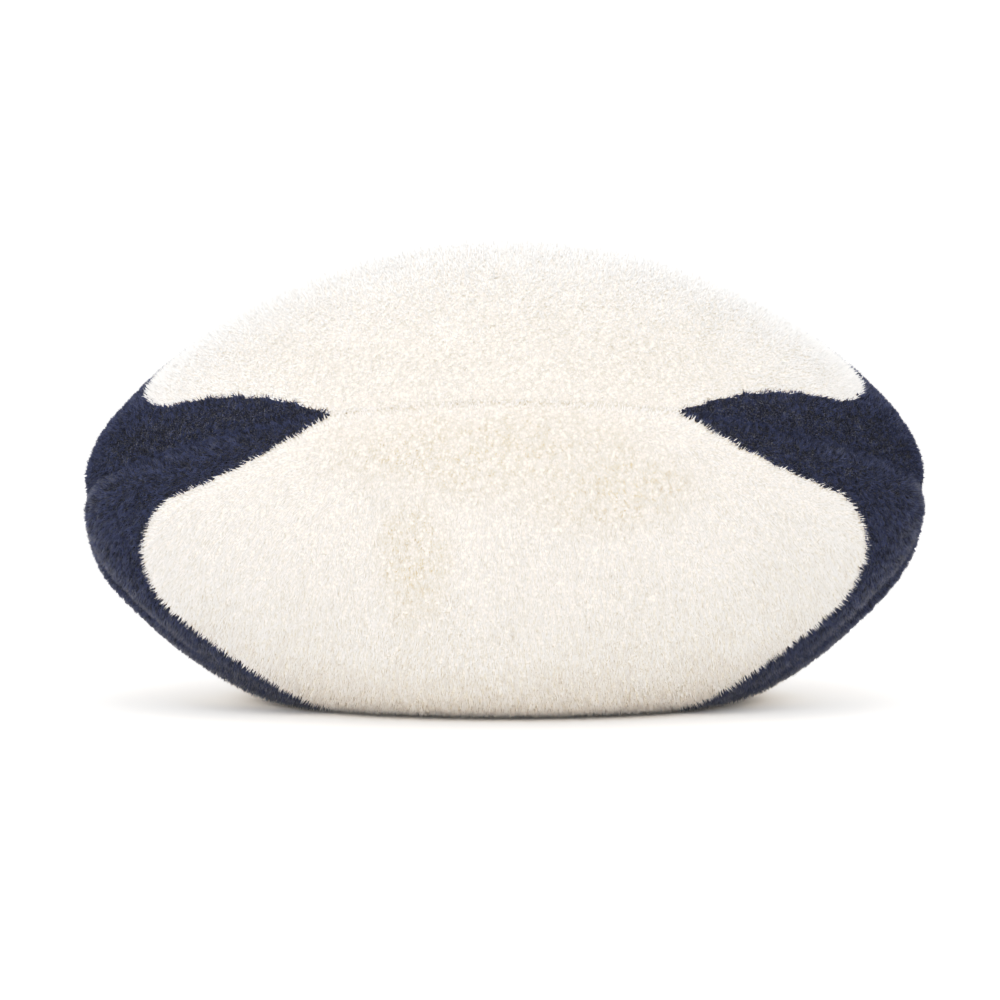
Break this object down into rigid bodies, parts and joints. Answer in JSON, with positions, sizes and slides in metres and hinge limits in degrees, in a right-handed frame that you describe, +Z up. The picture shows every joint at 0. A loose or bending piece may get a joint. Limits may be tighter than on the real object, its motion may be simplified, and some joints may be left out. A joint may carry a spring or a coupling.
{
  "type": "plush rugby ball",
  "caption": "Stuffed plush rugby ball in short-pile fabric, with cream centre panels set into navy ends, rounded noses and a weighted flat base.",
  "frame": {"origin": "middle of the flat that the ball rests on, under the middle of its length", "axes": "+X along the ball from the left nose to the right nose, +Y from the front panel to the rear panel, +Z up from the resting flat"},
  "size_m": [0.29, 0.18, 0.159],
  "materials": {
    "cream_plush": "short-pile plush",
    "navy_plush": "short-pile plush",
    "thread": "polyester sewing thread",
    "filling": "loose polyester fibre",
    "pouch_cloth": "plain-woven cotton",
    "pellet_plastic": "satin polyethylene"
  },
  "bodies": {
    "root": {"cream_panel_top": "cream_plush", "cream_panel_front": "cream_plush", "cream_panel_bottom": "cream_plush", "cream_panel_rear": "cream_plush", "navy_panel_top_left": "navy_plush", "navy_panel_top_right": "navy_plush", "navy_panel_front_left": "navy_plush", "navy_panel_front_right": "navy_plush", "navy_panel_bottom_left": "navy_plush", "navy_panel_bottom_right": "navy_plush", "navy_panel_rear_left": "navy_plush", "navy_panel_rear_right": "navy_plush", "gore_seam_thread_top": "thread", "gore_seam_thread_front": "thread", "gore_seam_thread_bottom": "thread", "gore_seam_thread_rear": "thread", "inset_seam_thread_top_left": "thread", "inset_seam_thread_top_right": "thread", "inset_seam_thread_front_left": "thread", "inset_seam_thread_front_right": "thread", "inset_seam_thread_bottom_left": "thread", "inset_seam_thread_bottom_right": "thread", "inset_seam_thread_rear_left": "thread", "inset_seam_thread_rear_right": "thread", "closing_stitch": "thread", "pouch_thread": "thread", "stuffing": "filling", "pouch_lower": "pouch_cloth", "pouch_upper": "pouch_cloth", "pellets": "pellet_plastic"}
  },
  "joints": []
}
